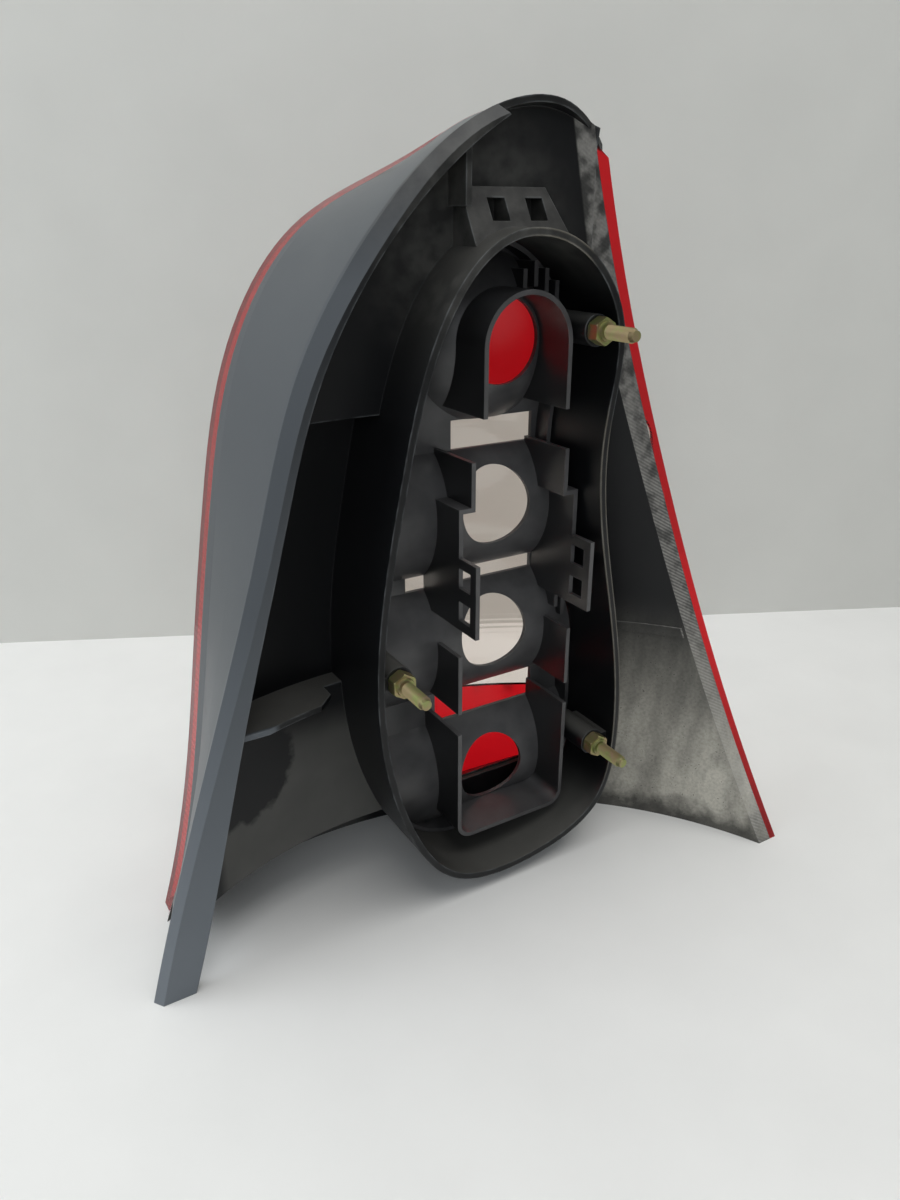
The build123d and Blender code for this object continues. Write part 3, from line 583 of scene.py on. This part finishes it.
def add_thread(mesh, start, length):
    """Helical ridge round the stud."""
    core = THREAD_RADIUS - THREAD_DEPTH
    half = THREAD_PITCH * FLANK_SHARE
    wedge = [mesh.verts.new((radius, -along, 0)) for radius, along in
             ((core, start), (THREAD_RADIUS, start + half), (core, start + 2 * half))]
    ridge = [mesh.edges.new(pair) for pair in zip(wedge, wedge[1:])]
    turns = length / THREAD_PITCH - 1
    bmesh.ops.spin(mesh, geom=wedge + ridge, cent=(0, 0, 0), axis=TOWARDS_CAR,
                   dvec=TOWARDS_CAR * THREAD_PITCH / THREAD_STEPS, angle=2 * math.pi * turns,
                   steps=int(THREAD_STEPS * turns), use_merge=False)


def threaded_stud(node):
    """Stud with hexagon, collar, thread and tip, in the place of a CAD stud."""
    low, high = (Vector(corner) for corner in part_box(node))
    middle = (low + high) / 2
    reach = HEX_THICKNESS + STUD_REACH
    foot = Vector((middle.x, low.y + STUD_REACH + HEX_THICKNESS, middle.z))
    shank = high.y - foot.y
    core = THREAD_RADIUS - THREAD_DEPTH
    mesh = bmesh.new()
    add_hexagon(mesh)
    add_round(mesh, COLLAR_RADIUS, COLLAR_RADIUS * COLLAR_TAPER, HEX_THICKNESS, COLLAR_LENGTH)
    add_round(mesh, core, core, HEX_THICKNESS, STUD_REACH - TIP_LENGTH)
    add_thread(mesh, HEX_THICKNESS + COLLAR_LENGTH,
               STUD_REACH - COLLAR_LENGTH - TIP_LENGTH + THREAD_PITCH)
    add_round(mesh, TIP_BASE_RADIUS, TIP_END_RADIUS, reach - TIP_LENGTH, TIP_LENGTH)
    add_round(mesh, THREAD_RADIUS, THREAD_RADIUS, -shank, shank)
    bmesh.ops.translate(mesh, vec=foot, verts=mesh.verts)
    bmesh.ops.recalc_face_normals(mesh, faces=mesh.faces)
    data = bpy.data.meshes.new(node + "_threaded")
    mesh.to_mesh(data)
    mesh.free()
    data.materials.append(zinc)
    piece = bpy.data.objects.new(node + "_threaded", data)
    bpy.context.scene.collection.objects.link(piece)
    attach(piece, "root")
    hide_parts(node)
    print("stud:", node, "with", len(data.polygons), "faces")


for node in ("stud_upper", "stud_left", "stud_lower"):
    threaded_stud(node)

# %% [markdown]
# ## Dress the solids
#
# Each CAD node keeps its mesh and only gets its material.

# %% Assign materials to the CAD nodes
finishes = {"housing": housing_plastic, "reflector": reflector_plastic, "lens_red": red_acrylic,
            "lens_clear": clear_acrylic}
for node, material in finishes.items():
    nodes[node].data.materials.clear()
    nodes[node].data.materials.append(material)
    print(node, "->", material.name)

# %% [markdown]
# ## Floor and wall
#
# The lamp stands on a white table in front of a pale wall. Both are planes with a faint mottle.
# They are painted on one side and clear from behind, so that the wall doesn't hide the lamp when it
# is looked at from the lens side.

# %% Stage
FLOOR_WHITE = linear("#ececea")
WALL_GREY = linear("#d4d4cf")
WALL_POINT = Vector((486, 86, 0)) * MM
WALL_TURN = math.radians(-25.5)
STAGE_SIZE = 6.0
MOTTLE_SIZE = 60.0
MOTTLE_SHADE = 0.96
PAINT_ROUGHNESS = 0.6


def stage_plane(name, colour, turn):
    """Large plane of one pale colour that isn't part of the lamp."""
    material, tree, shader, place = new_material(name + "_paint")
    mottle = add_node(tree, "TexNoise",
                      {"Vector": place, "Scale": feature_scale(MOTTLE_SIZE), "Detail": 5.0})
    share = add_node(tree, "MapRange", {0: mottle, 1: 0.3, 2: 0.7})
    darker = [channel * MOTTLE_SHADE for channel in colour[:3]] + [1.0]
    paint = add_node(tree, "Mix", {0: share, 6: darker, 7: colour}, data_type="RGBA")
    fill(tree, shader, {"Base Color": paint.outputs[2], "Roughness": PAINT_ROUGHNESS})
    behind = add_node(tree, "NewGeometry").outputs["Backfacing"]
    clear = add_node(tree, "BsdfTransparent")
    one_sided = add_node(tree, "MixShader", {0: behind, 1: shader, 2: clear})
    fill(tree, tree.nodes["Material Output"], {"Surface": one_sided})
    mesh = bmesh.new()
    bmesh.ops.create_grid(mesh, x_segments=1, y_segments=1, size=STAGE_SIZE, matrix=turn)
    data = bpy.data.meshes.new(name)
    mesh.to_mesh(data)
    mesh.free()
    data.materials.append(material)
    plane = bpy.data.objects.new(name, data)
    bpy.context.scene.collection.objects.link(plane)
    print("stage:", name)


upright = Matrix.Rotation(WALL_TURN, 4, "Z") @ Matrix.Rotation(math.pi / 2, 4, "X")
stage_plane("floor", FLOOR_WHITE, Matrix.Identity(4))
stage_plane("wall", WALL_GREY, Matrix.Translation(WALL_POINT) @ upright)

# %% [markdown]
# ## Light
#
# One wide lamp above gives the soft main light. A cooler one stands at the left like a window, and
# a weak one on the camera's side fills the pan. The world is dim, because the camera's side of the
# room is: black plastic mirrors that side, so a bright world would turn it grey.

# %% Light
CEILING_WHITE = (1.0, 0.99, 0.97)
WINDOW_BLUE = (0.9, 0.95, 1.0)
ROOM_COLOUR = linear("#eef1f4")
ROOM_STRENGTH = 0.2


def soft_lamp(name, place_mm, aim_mm, size, power, colour):
    """Square area lamp that looks at a point."""
    data = bpy.data.lights.new(name, "AREA")
    data.size = size
    data.energy = power
    data.color = colour
    lamp = bpy.data.objects.new(name, data)
    lamp.location = Vector(place_mm) * MM
    aim = Vector(aim_mm) * MM - lamp.location
    lamp.rotation_euler = aim.to_track_quat("-Z", "Y").to_euler()
    bpy.context.scene.collection.objects.link(lamp)
    print("lamp:", name, power, "W")


soft_lamp("ceiling_lamp", place_mm=(100, -150, 1900), aim_mm=(60, 0, 100), size=1.9, power=28,
          colour=CEILING_WHITE)
soft_lamp("window_lamp", place_mm=(-1450, 400, 800), aim_mm=(-60, 0, 150), size=1.2, power=11,
          colour=WINDOW_BLUE)
soft_lamp("room_lamp", place_mm=(-900, -1400, 900), aim_mm=(0, 0, 150), size=1.2, power=7,
          colour=WINDOW_BLUE)
world = bpy.data.worlds.new("room")
world.use_nodes = True
fill(world.node_tree, world.node_tree.nodes["Background"],
     {"Color": ROOM_COLOUR, "Strength": ROOM_STRENGTH})
bpy.context.scene.world = world
print("world:", world.name, ROOM_STRENGTH)
